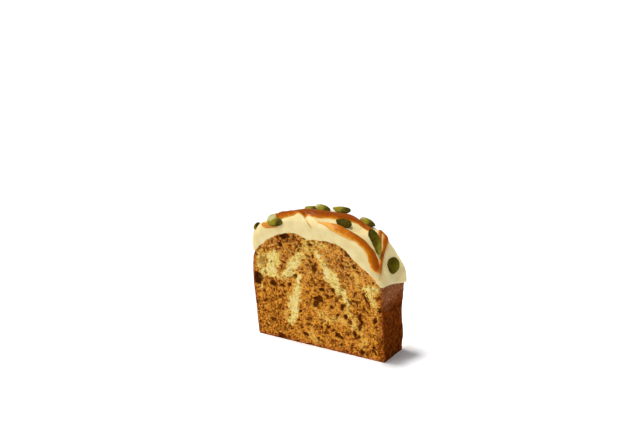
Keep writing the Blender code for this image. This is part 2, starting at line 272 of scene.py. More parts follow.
def front_y(z):
    """Where the front cut lies from front to back, at a height."""
    return -DEPTH / 2 - LEAN * z


def place_at(x, z, share):
    """Points at a share of the way from the front cut to the back cut, which is wider at its right."""
    y = front_y(z)
    wider = FLARE * ramp(*FLARE_HEIGHTS, z)
    wider = wider + FOOT_FLARE * np.exp(-((z - FOOT_HEIGHT) / FOOT_SPREAD) ** 2)
    x = x + share * wider * ramp(*FLARE_ACROSS, x)
    return np.stack(np.broadcast_arrays(x, y + share * (DEPTH / 2 - y), z), -1)


# Crumb

# Streaks of cream cheese in the crumb: how strongly each shows, then its places across and up and half widths
MARBLING = [
    (1, [(-37, 63, 3), (-34, 61, 4.6), (-34, 56, 5.2), (-38, 51, 5), (-42, 49, 3.2)]),
    (0.85, [(-44.5, 60, 2.4), (-44, 54, 2.8), (-45, 48, 2), (-46.5, 42, 1.8), (-47.5, 38, 1)]),
    (0.8, [(-34, 49, 2.6), (-29, 48.5, 2)]),
    (0.95, [(-29.5, 48.5, 2), (-26.3, 51, 3), (-23, 54.6, 3.6), (-20, 59, 3.4), (-17, 63.4, 3.2),
            (-15, 66.6, 2.6)]),
    (0.55, [(-14, 65, 3), (-11, 68, 3.6), (-9, 74, 4.2), (-8, 78, 3.6), (-3, 75, 3)]),
    (1, [(-15.5, 51, 1.2), (-16, 46, 1.5), (-17.5, 40, 2.2), (-20, 34, 4), (-21.5, 28, 4.2),
           (-21, 22, 3.4), (-22, 17, 3.4), (-23, 14, 2.6)]),
    (0.5, [(-27, 22, 1.6), (-28, 15, 1.4)]),
    (1, [(0.5, 71, 1.4), (2.5, 66, 2.2), (5.5, 61, 3.4), (9.5, 56, 4.6), (13.5, 51, 4.2),
           (17.5, 45.5, 3.4), (21.5, 40, 2.2), (25, 35, 1)]),
    (0.6, [(20, 33, 1), (24, 30, 1.6), (26, 26.5, 3), (27, 21, 2.4)]),
    (0.5, [(-3.5, 30.5, 1.6), (0, 27.5, 1.8), (3, 23.5, 2.2)]),
    (0.45, [(4, 22.5, 2.6), (9, 23.5, 3), (14, 24.5, 2.8), (19, 24.5, 2.2)]),
    (0.4, [(-8.5, 14, 1.8), (-7.5, 9.5, 3), (-5, 5, 3), (-2, 2.5, 2.2)]),
    (0.9, [(37.5, 53, 1.6), (42, 53.5, 2.8), (47, 52.5, 2.6)]),
    (0.75, [(40, 51, 2.4), (40.5, 46, 2.4), (42.5, 41, 1.8), (43.5, 36, 1.1)]),
    (0.5, [(25, 67.5, 1.8), (27, 65, 1.8)]),
    (0.6, [(-10, 80, 1.4), (-3, 79, 2), (4, 78, 1.8)]),
    (0.35, [(32, 22, 2), (34, 14, 2.4), (33, 8, 2)]),
    (0.4, [(28, 60, 1.6), (31, 56, 2.2), (34, 52, 1.6)]),
]
# Strokes of brown crumb across those streaks, as above
BROWN_ISLANDS = [
    [(-28, 61, 1.8), (-29, 57, 2.6), (-30.5, 54, 2.4), (-31, 52, 1.2)],
]
# Regions of the crumb that are lighter or darker: place across and up, half width, half height and change
SHADED_REGIONS = [
    (2, 75, 15, 7, 0.24), (-30, 76, 13, 5, -0.28), (-26, 44, 9, 6, 0.1), (8, 22, 12, 5, 0.14),
    (-40, 14, 16, 14, -0.12), (40, 57, 9, 6, 0.14), (48, 4, 5, 8, -0.2), (-4, 8, 8, 8, 0.1),
    (-8, 54, 8, 11, 0.16), (24, 58, 9, 8, 0.08),
]
# Hollows in the front cut: place across and up, half width, half height, tilt in degrees
HOLLOWS = [
    (-48.8, 43, 3.3, 5, 0), (-25.5, 79, 3.4, 2.2, 0), (-30, 72, 1.6, 1.3, 0), (-4, 59.4, 1.2, 5, -8),
    (1, 37, 3, 2, 20), (-3, 33, 2.6, 1.6, 38), (-3.6, 68.2, 1, 1, 0), (20.5, 28, 2, 1.8, 0),
    (32.5, 27, 1.2, 7.6, -4), (15, 13, 2.4, 1.9, -25), (-12, 8, 3, 1.5, 0), (-32, 2.8, 2.2, 1.4, 0),
    (33, 3.4, 1.2, 2.6, 0), (43, 29, 1.6, 1.5, 0), (42, 9.5, 1.5, 1.4, 0), (18, 34, 1.3, 1.9, 0),
    (37, 44, 0.8, 6.5, 32), (-16, 24, 1.5, 1.4, 0), (28, 66.5, 2.3, 1.2, -25), (-36.4, 40.8, 2.3, 1.3, -30),
    (2.5, 44.5, 1.8, 1.2, 20), (7, 17, 1.6, 1.1, 15), (27, 17, 1.2, 1.6, 0), (10, 33, 1.5, 1.2, 0),
    (-17.6, 51, 1.5, 1.3, 0), (-5, 76, 1.4, 1, 0),
]
# Shallow dents in it, as above, and their depth
DENTS = [(-45, 57.6, 2.6, 3.6, -15), (-42.4, 49.2, 1.3, 1.8, 0), (-37.1, 57.2, 0.9, 1.8, 0)]
DENT_DEPTH = 1.2
PORES = 3200               # small pores on each cut
PORES_ACROSS = (-51, 50)
PORES_UP = (0.5, 83)
FIELD_STEP = 0.2           # spacing of the tables that the cut faces are read from
FIELD_X = np.arange(-56, 56, FIELD_STEP)
FIELD_Z = np.arange(-4, 90, FIELD_STEP)
MARBLING_SEED = 37
FRONT_SEED = 100
BACK_SEED = 500


def marbling(x, z):
    """How much of each place is cream cheese, from 0 to 1, with ragged, crumbly borders."""
    seed = MARBLING_SEED
    wx = x + 1.6 * fractal(x, z, 7, seed)
    wz = z + 1.6 * fractal(x, z, 7, seed + 9)
    ragged = 1.8 * (cells(x, z, 1.3, seed + 3)[1] - 0.5) + 0.9 * value_noise(x, z, 1.0, seed + 5)
    ragged = ragged + 1.4 * value_noise(x, z, 2.8, seed + 6)
    cream = np.zeros(np.shape(x))
    for strength, points in MARBLING:
        cream = np.maximum(cream, strength * ramp(2.4, -2.0, stroke(wx, wz, points) + ragged))
    for points in BROWN_ISLANDS:
        cream = cream * ramp(-1.6, 1.3, stroke(wx, wz, points) + ragged)
    return cream


def add_hollow(depth, wx, wz, spot, half_x, half_z, tilt, deep):
    """Sinks one rounded hollow into a table of depths, as warped as the places wx and wz."""
    x, z = spot
    reach = max(half_x, half_z) + 2.2
    i0, i1 = np.searchsorted(FIELD_X, (x - reach, x + reach))
    j0, j1 = np.searchsorted(FIELD_Z, (z - reach, z + reach))
    if i1 - i0 < 2 or j1 - j0 < 2:
        return
    window = (slice(i0, i1), slice(j0, j1))
    ci = min(int((x - FIELD_X[0]) / FIELD_STEP), len(FIELD_X) - 1)
    cj = min(int((z - FIELD_Z[0]) / FIELD_STEP), len(FIELD_Z) - 1)
    dx = wx[window] - wx[ci, cj]
    dz = wz[window] - wz[ci, cj]
    c = math.cos(math.radians(tilt))
    s = -math.sin(math.radians(tilt))
    r2 = ((dx * c - dz * s) / half_x) ** 2 + ((dx * s + dz * c) / half_z) ** 2
    sink = deep * np.sqrt(np.clip(1 - r2, 0, 1)) ** 0.8
    depth[window] = np.maximum(depth[window], sink)


def cut_fields(back):
    """Tables of a cut face: how deep it and its pits are sunk, how much is cream cheese, how light it is,
    with painted shade between its grains.
    """
    seed = BACK_SEED if back else FRONT_SEED
    x, z = np.meshgrid(FIELD_X, FIELD_Z, indexing="ij")
    if back:
        cream = marbling(x + 3.5 + 3 * fractal(x, z, 20, seed), z + 2.5 + 3 * fractal(x, z, 20, seed + 1))
    else:
        cream = marbling(x, z)
    wx = x + 0.5 * value_noise(x, z, 1.3, seed + 11) + 1.2 * value_noise(x, z, 3.7, seed + 12)
    wz = z + 0.5 * value_noise(x, z, 1.3, seed + 13) + 1.2 * value_noise(x, z, 3.7, seed + 14)
    near, pick = cells(wx, wz, 1.3, seed + 15)
    near_small = cells(wx, wz, 0.75, seed + 16)[0]
    loose = 1 - 0.45 * cream
    depth = loose * (0.42 * near ** 2 + 0.13 * near_small) + 0.3 * fractal(x, z, 9, seed + 17) + 0.14 * pick
    pits = np.zeros_like(depth)
    rng = np.random.default_rng(seed)
    for hx, hz, half_x, half_z, tilt in HOLLOWS:
        if back:
            hx = 3 - 0.9 * hx
            hz = 72 - 0.86 * hz
            tilt = 180 - tilt
        add_hollow(pits, wx, wz, (hx, hz), half_x, half_z, tilt, 1.1 * min(half_x, half_z) + 0.9)
    for hx, hz, half_x, half_z, tilt in DENTS:
        add_hollow(pits, wx, wz, (-hx if back else hx, hz), half_x, half_z, tilt, DENT_DEPTH)
    open_zone = fractal(x, z, 14, seed + 18)
    for _ in range(PORES):
        px = rng.uniform(*PORES_ACROSS)
        pz = rng.uniform(*PORES_UP)
        draw = rng.uniform()
        stretch = rng.uniform(1, 1.9)
        tilt = rng.uniform(0, 180)
        dig = rng.uniform(0.8, 1.5)
        i = int((px - FIELD_X[0]) / FIELD_STEP)
        j = int((pz - FIELD_Z[0]) / FIELD_STEP)
        size = (0.34 + 0.62 * draw ** 4) * (1 - 0.3 * cream[i, j]) * (1 + 0.2 * open_zone[i, j])
        add_hollow(pits, wx, wz, (px, pz), size, size * stretch, tilt, dig * size)
    # Painted shade and light: besides random tone, places sunk between the grains are painted darker and
    # grain tops lighter.
    tone = 0.5 + 0.12 * fractal(x, z, 16, seed + 19) + 0.6 * (pick - 0.5) + 0.7 * (0.42 - near)
    tone = tone + 0.3 * value_noise(x, z, 0.8, seed + 20)
    for cx, cz, half_x, half_z, change in SHADED_REGIONS:
        tone = tone + change * np.exp(-((x - cx) / half_x) ** 2 - ((z - cz) / half_z) ** 2)
    return depth + pits, pits, cream, tone


def read_table(table, x, z):
    """Reads a table of the cut face between its entries."""
    u = (x - FIELD_X[0]) / FIELD_STEP
    v = (z - FIELD_Z[0]) / FIELD_STEP
    i = np.clip(np.floor(u).astype(int), 0, len(FIELD_X) - 2)
    j = np.clip(np.floor(v).astype(int), 0, len(FIELD_Z) - 2)
    f = np.clip(u - i, 0, 1)
    g = np.clip(v - j, 0, 1)
    low = table[i, j] * (1 - f) + table[i + 1, j] * f
    high = table[i, j + 1] * (1 - f) + table[i + 1, j + 1] * f
    return low * (1 - g) + high * g


def outline_patch():
    """A table of places that fills the crumb's outline, from its bottom to its dome."""
    last = len(CRUMB_OUTLINE) - 1
    left = even_along(CRUMB_OUTLINE, 0, ICING_FROM, FACE_ROWS)
    top = even_along(CRUMB_OUTLINE, ICING_FROM, TOP_END, FACE_COLUMNS)
    right = even_along(CRUMB_OUTLINE, TOP_END, last, FACE_ROWS)[::-1]
    bottom = np.linspace(left[0], right[0], FACE_COLUMNS + 1)
    a = np.linspace(0, 1, FACE_COLUMNS + 1)[:, None, None]
    b = np.linspace(0, 1, FACE_ROWS + 1)[None, :, None]
    sides = (1 - a) * left[None] + a * right[None]
    ends = (1 - b) * bottom[:, None] + b * top[:, None]
    low_corners = (1 - a) * (1 - b) * left[0] + a * (1 - b) * right[0]
    return sides + ends - (low_corners + (1 - a) * b * left[-1] + a * b * right[-1])


def ring_order(ids):
    """The border of a two-way table, anticlockwise from its first corner."""
    return np.concatenate([ids[:-1, 0], ids[-1, :-1], ids[:0:-1, -1], ids[0, :0:-1]])


def gaps_to_rim(patch, rim):
    """How far each place on a cut face is from the face's rim."""
    tree = KDTree(len(rim))
    for k, (rx, rz) in enumerate(rim):
        tree.insert((rx, rz, 0), k)
    tree.balance()
    return np.array([tree.find((px, pz, 0))[2] for px, pz in patch.reshape(-1, 2)])


def crust_places(around):
    """Bake places of the crust's quads, in two strips that each go half way round."""
    turns = 2 * around
    strip = np.floor(turns[:-1])
    low = 0.02 + 0.96 * (turns[:-1] - strip)
    high = 0.02 + 0.96 * (turns[1:] - strip)
    v = 0.04 + 0.2 * strip + 0.14 * np.linspace(0, 1, CRUST_RINGS + 1)[:, None]
    u = np.stack([low, low, high, high], -1)
    v = np.stack([v[:-1], v[1:], v[1:], v[:-1]], -1)
    return np.stack(np.broadcast_arrays(u, v), -1).reshape(-1, 4, 2)


def crumb_piece(material):
    """The whole loaf slice: two torn-looking cut faces joined by the baked crust."""
    patch = outline_patch()
    x, z = patch.reshape(-1, 2).T
    count = len(x)
    ids = np.arange(count).reshape(patch.shape[:2])
    ring = ring_order(ids)
    rim = patch.reshape(-1, 2)[ring]
    edge_gap = gaps_to_rim(patch, rim)
    iced = ramp(1.0, -1.0, z - (58 + 5 * ramp(-20, -45, x)))
    layers = []
    for back in (False, True):
        depth, pit, cream, tone = (read_table(table, x, z) for table in cut_fields(back))
        fade = ramp(0, blend(2.0, 0.5, iced), edge_gap)
        smeared = 0.3 * (1 - ramp(0.3, 2.8, edge_gap)) * (1 - iced)
        worn = (1 - ramp(0, 1.3, edge_gap)) ** 2
        worn = worn * blend(0.15, 0.8, iced) * (1 + 0.6 * value_noise(x, z, 1.6, 71 + back))
        sunk = depth * fade + worn * blend(0.35, 1, ramp(0, 2.5, z))
        flat = place_at(x * (1 - 0.012 * worn), z, float(back))
        flat[:, 1] += -sunk if back else sunk
        wobble = 0.4 * fractal(x, z, 3, 81 + back)
        baked = blend(0.75, 0.3, ramp(1.5, 5, z)) * (1 - ramp(0.0, 1.1, edge_gap + wobble))
        toasted = (1 - ramp(0.5, 3.6, edge_gap + 2.2 * wobble)) * iced
        under_icing = 0.6 * (1 - ramp(0.2, 1.5, edge_gap + wobble)) * (1 - iced)
        # The pits' depth is kept for the painted shade in them and for the bumps.
        layers.append({"spots": flat, "cream": np.maximum(cream, smeared), "pit": pit * fade,
                       "crust": baked * iced, "toasted": np.maximum(toasted, under_icing),
                       "tone": tone, "high": np.zeros(count)})
    tangent = np.roll(rim, -1, 0) - np.roll(rim, 1, 0)
    outward = unit(np.stack([tangent[:, 1], -tangent[:, 0]], -1))
    run = run_along(rim)
    none = np.zeros(len(ring))
    band = [ring]
    for k in range(1, CRUST_RINGS):
        share = k / CRUST_RINGS
        y = share * DEPTH + none
        bumps = 0.34 * fractal(run, y, 7, 301) + 0.16 * (0.5 - cells(run, y, 1.7, 303)[0])
        push = (bumps + 0.1 * value_noise(run, y, 0.8, 305)) * ramp(0, 1.5, np.minimum(y, DEPTH - y))
        push = np.where(rim[:, 1] < 0.01, -np.abs(push) * 0.6, push)
        line = rim + outward * push[:, None]
        line[:, 1] = np.maximum(line[:, 1], 0)
        band.append(2 * count + (k - 1) * len(ring) + np.arange(len(ring)))
        layers.append({"spots": place_at(line[:, 0], line[:, 1], share), "cream": none, "pit": none,
                       "crust": none + 1, "toasted": none, "tone": 0.5 + 0.3 * fractal(run, y, 9, 307),
                       "high": ramp(36, 50, line[:, 1] + 4 * fractal(run, y, 6, 309))})
    band = np.stack([*band, ring + count], 0)
    band = np.concatenate([band, band[:, :1]], 1)
    scale = 0.46 / 104
    across = (patch[..., 0] + 52) * scale
    up = 0.5 + patch[..., 1] * scale
    total = run[-1] + np.linalg.norm(rim[-1] - rim[0])
    quads = grid_faces(ids)
    faces = [quads, quads[:, ::-1] + count, grid_faces(band)]
    uvs = [quad_places(0.02 + across, up), quad_places(0.98 - across, up)[:, ::-1],
           crust_places(np.append(run, total) / total)]
    values = {key: np.concatenate([layer[key] for layer in layers]) for key in layers[0]}
    return make_piece("crumb_body", values.pop("spots"), faces, uvs, values, material)


# Icing

def icing_pair(u, share):
    """The inner and the outer points of the icing at u of its length, at a share of the slice's depth."""
    icing_to = blend(ICING_TO_FRONT, ICING_TO_BACK, share)
    t_in = ICING_FROM + (icing_to - ICING_FROM) * u
    inner = spline(CRUMB_OUTLINE, t_in)
    front = spline(ICING_FRONT, (len(ICING_FRONT) - 1) * u)
    back = spline(ICING_BACK, (len(ICING_BACK) - 1) * u)
    return inner, blend(front, back, ramp(0.35, 1.0, share)[..., None])


def icing_length():
    """The length of the icing's outer outline at the front cut."""
    line = spline(ICING_FRONT, np.linspace(0, len(ICING_FRONT) - 1, 401))
    return float(np.linalg.norm(np.diff(line, axis=0), axis=1).sum())


LENGTH = icing_length()

# The knife's marks on the icing: run and place from front to back along each, how far it spreads to the front
# and to the back, and its height
SWIPES = [
    ([(24, -9.5), (40, -10.5), (52, -11.4), (60, -11.2), (64, -13.4), (67, -16.4)], 4.4, 0.8, 1.3),
    ([(50, -12), (57, -12.2), (62, -13.2)], 3.2, 0.8, 0.9),
    ([(57, -8.2), (61, -9.4), (64.5, -12.4), (67.4, -15.2), (70, -17.4)], 0.5, 1.7, -1.5),
    ([(66, -9.4), (69.6, -11.6), (73.8, -14.4), (79, -16)], 1.2, 0.7, 0.8),
    ([(74, -16.6), (84, -16.8), (94, -16.6)], 0.8, 0.6, 0.35),
    ([(121, -15.4), (127, -15.8)], 2, 1.4, 0.8),
    ([(89.5, -3.2), (92.4, 0.6)], 3.2, 3.2, -1.6),
    ([(94, -1.5), (100, -3), (106, -5)], 2.8, 2.8, -0.7),
    ([(72, -13.5), (84, -14.5), (100, -15), (116, -14.5)], 3, 3.4, 0.7),
    ([(66, -8.5), (78, -8), (92, -8.5), (106, -8), (114, -9)], 3.2, 3, -0.9),
    ([(40, -3), (56, 1), (72, 5)], 3.4, 1.8, 0.5),
    ([(58, 8.5), (70, 9.5), (84, 10), (96, 9.2), (104, 9.4), (112, 7)], 3, 4, 1.5),
    ([(112, 8), (120, 8), (128, 9), (134, 11)], 2.4, 1.2, 0.4),
    ([(106, 1), (116, -1), (128, 1), (135, 3)], 2.4, 1.4, -0.4),
    ([(118, -5), (126, -6), (134, -6)], 1.2, 2.4, 0.45),
    ([(8, -6), (20, -7.5), (34, -5)], 3, 1.4, 0.7),
    ([(8, 4), (20, 3), (36, 4), (50, 9)], 1.6, 3.2, -0.8),
    ([(4, 0), (14, -1), (30, 0), (46, 4)], 3, 1.2, 0.5),
]

# Caramel that has run into the icing: how strongly it shows, its half width, then its places, as above
STAINS = [
    (0.62, 0.5, [(58.5, -8.4), (61.4, -9.9), (64.8, -12.8), (67.4, -15.4), (68.6, -16.6)]),
    (0.35, 0.7, [(66.4, -9.2), (70.0, -11.0), (73.6, -14.0)]),
    (0.95, 2.3, [(33.6, -14.8), (36, -15.8), (39, -16.8)]),
    (0.4, 0.9, [(129, -12.8), (132, -13.8)]),
]


def swipe_distances(run, depth, points):
    """The distance from a path, and whether a place lies behind it."""
    best = np.full(np.shape(run), 1e9)
    behind = np.zeros(np.shape(run), bool)
    for a, b in zip(points, points[1:]):
        away = off_segment(run, depth, a, b)[1]
        closer = away < best
        best = np.where(closer, away, best)
        side = (b[0] - a[0]) * (depth - a[1]) - (b[1] - a[1]) * (run - a[0])
        behind = np.where(closer, side > 0, behind)
    return best, behind


def icing_relief(run, depth):
    """The height that swipes, folds and small unevenness add to the icing."""
    high = 0.28 * fractal(run, depth, 17, 401) + 0.06 * fractal(run, depth, 3.5, 405)
    for points, to_front, to_back, height in SWIPES:
        away, behind = swipe_distances(run, depth, points)
        high = high + height * np.exp(-(away / np.where(behind, to_back, to_front)) ** 2)
    ends = ramp(0, 6, run) * ramp(0, 6, LENGTH - run)
    return high * ends


def stain_at(run, depth):
    """How much caramel has run into the icing at a place, from 0 to 1."""
    ragged = 0.4 * value_noise(run, depth, 1.6, 411)
    stain = np.zeros(np.shape(run))
    for strength, half, points in STAINS:
        away = swipe_distances(run, depth, points)[0] + ragged
        stain = np.maximum(stain, strength * ramp(1.7 * half, 0.3 * half, away))
    return stain


def icing_top(run, depth):
    """Points of the icing's top at a run from its left end and a place from front to back."""
    run, depth = np.broadcast_arrays(np.asarray(run, float), np.asarray(depth, float))
    u = np.clip(run / LENGTH, 0, 1)
    y0 = front_y(icing_pair(u, np.full(u.shape, 0.5))[1][..., 1])
    share = np.clip((depth - y0) / (DEPTH / 2 - y0), 0, 1)
    inner, outer = icing_pair(u, share)
    thick = outer - inner
    span = np.linalg.norm(thick, axis=-1)
    full = span + icing_relief(run, depth)
    width = DEPTH / 2 - y0
    end_gap = np.minimum(run, LENGTH - run)
    end_reach = np.minimum(1.6, 0.6 * span)
    f = np.clip(1 - end_gap / end_reach, 0, 1)
    full = full * (0.35 + 0.65 * np.sqrt(1 - f * f))
    lift = np.ones_like(full)
    for edge, radius in ((share * width, ICING_EDGE_FRONT), ((1 - share) * width, ICING_EDGE_BACK)):
        reach = np.minimum(radius, 0.9 * full)
        f = np.clip(1 - edge / reach, 0, 1)
        lift = lift - (1 - np.sqrt(1 - f * f)) * reach / full
    spot = inner + thick / span[..., None] * (full * lift)[..., None]
    return place_at(spot[..., 0], spot[..., 1], share)


def icing_frame(run, depth):
    """Places on the icing's top with the directions along it, across it and out of it."""
    spot = icing_top(run, depth)
    along = unit(icing_top(run + 0.6, depth) - icing_top(run - 0.6, depth))
    across = unit(icing_top(run, depth + 0.6) - icing_top(run, depth - 0.6))
    up = unit(np.cross(along, across))
    return spot, along, np.cross(up, along), up


def icing_piece(material):
    """The icing: rings across it, from the crumb up its front face, over its top and down its back face."""
    e = np.linspace(0, 1, ICING_ALONG)
    u = np.clip(e - 0.02 * np.sin(2 * np.pi * e), 0, 1)
    run = u * LENGTH
    y0 = front_y(icing_pair(u, np.full(u.shape, 0.5))[1][:, 1])
    rows = []
    top_shares = 0.5 - 0.5 * np.cos(np.linspace(0, np.pi, ICING_ACROSS))
    top_shares = 0.6 * top_shares + 0.4 * np.linspace(0, 1, ICING_ACROSS)
    top = [icing_top(run, y0 + s * (DEPTH / 2 - y0)) for s in top_shares]
    stain = [stain_at(run, y0 + s * (DEPTH / 2 - y0)) for s in top_shares]
    for end, rim in ((0.0, top[0]), (1.0, top[-1])):
        inner = icing_pair(u, np.full(u.shape, end))[0]
        foot = place_at(inner[:, 0], inner[:, 1], end)
        out = -1 if end == 0 else 1
        rise = rim - foot
        tall = np.linalg.norm(rise, axis=1)[:, None]
        down = rise / tall
        lap = 0.8 + 0.5 * fractal(run, 0 * run + end * 40, 5, 421, 4)[:, None]
        wall = []
        wall_stain = []
        for k in range(WALL_STEPS):
            h = k / WALL_STEPS
            bulge = 0.45 * np.sin(np.pi * min(h * 1.6, 1) * 0.5) * (1 - h) ** 0.8
            spot = foot - down * lap * (1 - h) ** 3 + rise * h
            spot[:, 1] += out * (bulge + 0.12 * value_noise(run, 0 * run + 9 * h, 4, 431))
            wall.append(spot)
            wall_stain.append(stain_at(run, y0 - (1 - h) * tall[:, 0]) if end == 0 else 0 * run)
        tuck = foot - down * (lap + 0.1)
        tuck[:, 1] -= out * 0.8
        wall.insert(0, tuck)
        rows.append(wall if end == 0 else wall[::-1])
        wall_stain.insert(0, 0 * run)
        stain = wall_stain + stain if end == 0 else stain + wall_stain
    under = []
    middle = top[ICING_ACROSS // 2]
    for share in (0.75, 0.5, 0.25):
        inner = icing_pair(u, np.full(u.shape, share))[0]
        seat = place_at(inner[:, 0], inner[:, 1], share)
        under.append(seat - 0.06 * (middle - place_at(inner[:, 0], inner[:, 1], 0.5)))
    table = np.stack(rows[0] + top + rows[1] + under, 1)
    values = {"stain": np.stack(stain + 3 * [0 * run], 1)}
    return closed_piece("icing_body", table, 0.02 + 0.96 * u, values, material)


# Caramel

# Each ribbon of caramel: run and place from front to back of its one edge and of its other, its height, the
# share of its length over which it starts thin and golden, which is also a painted highlight, and how deep
# its colour is
CARAMEL = [
    ([(37, -9.6, 41, -13.4), (41, -8, 45, -14), (45, -6, 49, -15.3), (49.5, -4.2, 53.8, -14.9),
      (53.5, -3, 57.8, -14.1), (57, -2.2, 60.8, -12.6), (60.5, -1.4, 64, -10.8), (67, 1.4, 70.5, -8.8),
      (71, 4.6, 74.5, -5), (74.5, 7.6, 78.5, -1.2), (78, 9.4, 83, 3), (82, 9.8, 87, 4.8),
      (86, 9.2, 90, 4.6), (90, 8.4, 92.4, 4.2), (94, 7.8, 95.8, 3.6), (98, 7, 98.8, 3.2),
      (100.4, 6, 100.8, 4.2)], 2.1, 0, 1.35),
    ([(73.4, -14, 73.8, -14.8), (76.4, -12.8, 77.6, -15), (78.8, -11, 81.6, -15.6),
      (81, -9, 86.8, -15.8), (84.6, -7.6, 91.2, -15.7), (89.4, -6.9, 96, -15.1),
      (95, -6.9, 100.6, -14.5), (101.4, -6.9, 106, -14.2), (106.8, -6.4, 110.8, -14.5),
      (111.4, -6.2, 114.8, -15.2), (116, -7, 118, -15.4), (120.2, -9.2, 121.6, -15),
      (124, -11.2, 124.8, -14.4), (127, -12.6, 127.2, -13.4)], 2, 0.47, 1),
    ([(112.5, -1.5, 113.5, -1.8), (108.8, 1, 111.2, 1), (104, 5, 106.8, 5.4), (101.2, 8, 104.2, 8),
      (100, 10.4, 103.4, 9), (101.6, 11.8, 104, 9.2), (104.6, 11.8, 105.2, 8.6), (107.4, 11, 106.8, 6.6),
      (110, 9, 109, 4.4), (112.8, 4.8, 111.8, 1.8), (115.2, 1.8, 114, -0.8), (117.6, -1, 117, -4.2),
      (120.8, -4.2, 119.4, -6.8), (123.6, -7, 122.2, -9.8), (126.8, -9.8, 125.8, -12),
      (128.6, -11.4, 127.8, -12.6), (129.6, -12.2, 129.2, -12.8)], 1.6, 0, 1.2),
]
RIBBON_SEED = 700
RIBBON_SEED_STEP = 10


def ribbon_points(edges, height, seed):
    """A bead of caramel that lies on the icing: its table of points and how thick it is at each."""
    steps = RIBBON_STEPS * (len(edges) - 1)
    path = spline(edges, np.linspace(0, len(edges) - 1, steps + 1))
    left = icing_top(path[:, 0], path[:, 1])
    right = icing_top(path[:, 2], path[:, 3])
    middle = (left + right) / 2
    length = run_along(middle)
    half = np.linalg.norm(left - right, axis=1) / 2
    ends = np.minimum(length, length[-1] - length)
    round_end = np.sqrt(np.clip(1 - (1 - np.clip(ends / (1.2 * half.mean()), 0, 1)) ** 2, 0.02, 1))
    swell = round_end * np.minimum(half / 2.6, 1.15) ** 0.6
    wobble_a = 1 + 0.07 * value_noise(length, 0 * length, 5, seed)
    wobble_b = 1 + 0.07 * value_noise(length, 0 * length + 9, 4, seed + 1)
    rows = []
    thick = []
    for s in np.sin(np.linspace(-np.pi / 2, np.pi / 2, RIBBON_PROFILE)):
        f = 0.5 + 0.5 * s * np.where(s < 0, wobble_a, wobble_b)
        run = blend(path[:, 0], path[:, 2], f)
        depth = blend(path[:, 1], path[:, 3], f)
        base, _, _, out = icing_frame(run, depth)
        arch = (1 - abs(s) ** 2.6) ** 0.7
        groove = 0.09 * np.sin(6.5 * s + 0.2 * length) * (1 - s * s)
        high = height * swell * arch * (1 + 0.12 * value_noise(length, 0 * length + 3 * s, 4, seed + 2))
        rows.append(base + out * (high + groove * swell - 0.12)[:, None])
        thick.append(high / height)
    for f in (0.75, 0.25):
        base, _, _, out = icing_frame(blend(path[:, 0], path[:, 2], f), blend(path[:, 1], path[:, 3], f))
        rows.append(base - out * 0.7)
        thick.append(np.ones_like(length))
    return np.stack(rows, 1), np.stack(thick, 1)


def ribbon_piece(name, places, height, golden, deep, seed, material):
    """One ribbon of caramel as a closed mesh."""
    table, thick = ribbon_points(places, height, seed)
    thick = deep * thick
    # Painted highlight: the ribbon's start is painted lighter and golden, partly as thin caramel and partly
    # as a highlight.
    if golden:
        thick = thick * blend(0.2, 1.0, ramp(0.04, golden, np.linspace(0, 1, len(thick))))[:, None]
    return closed_piece(name, table, np.linspace(0.02, 0.98, len(table)), {"thick": thick}, material)


# Pumpkin seeds

# Each seed: its blunt end and its tip, as run, place from front to back and height over the icing, its roll,
# width, thickness and bend, and how strongly painted light makes it paler at its left, or below 0 at its
# right
SEEDS = [
    ((41.2, -12.6, 2.4), (48, -17.4, 1.4), -30, 9.8, 4.6, 0.5, 1.1),
    ((23.8, -13.3, 1.1), (27, -8.7, 1), -36, 6, 3, 0.3, 0.8),
    ((56.2, 4.5, 0.9), (65.4, 7.6, 0.6), 0, 7, 2.6, 0.4, 0.85),
    ((63.6, 5, 2.4), (72.6, 6, 1.2), 16, 7.8, 3.2, 0.5, 0.95),
    ((79.8, 11, 3.4), (72.4, 9.6, 1.6), -38, 7.6, 3.2, 0.5, 0.8),
    ((86.8, -1.6, 1.8), (79, -5.1, 1.8), -14, 7.6, 2.8, 0.4, 0.02),
    ((87.2, 10.4, 1.6), (97.8, 8.8, 1.4), 20, 7.6, 3, 0.4, 0.8),
    ((98.2, 1.8, 3.4), (115.8, -5.6, 2.2), 66, 8, 3, 0.7, -0.85),
    ((121.2, 5.4, 1.5), (132.2, -2.6, 1.3), 16, 8.8, 3, 0.4, -0.55),
]


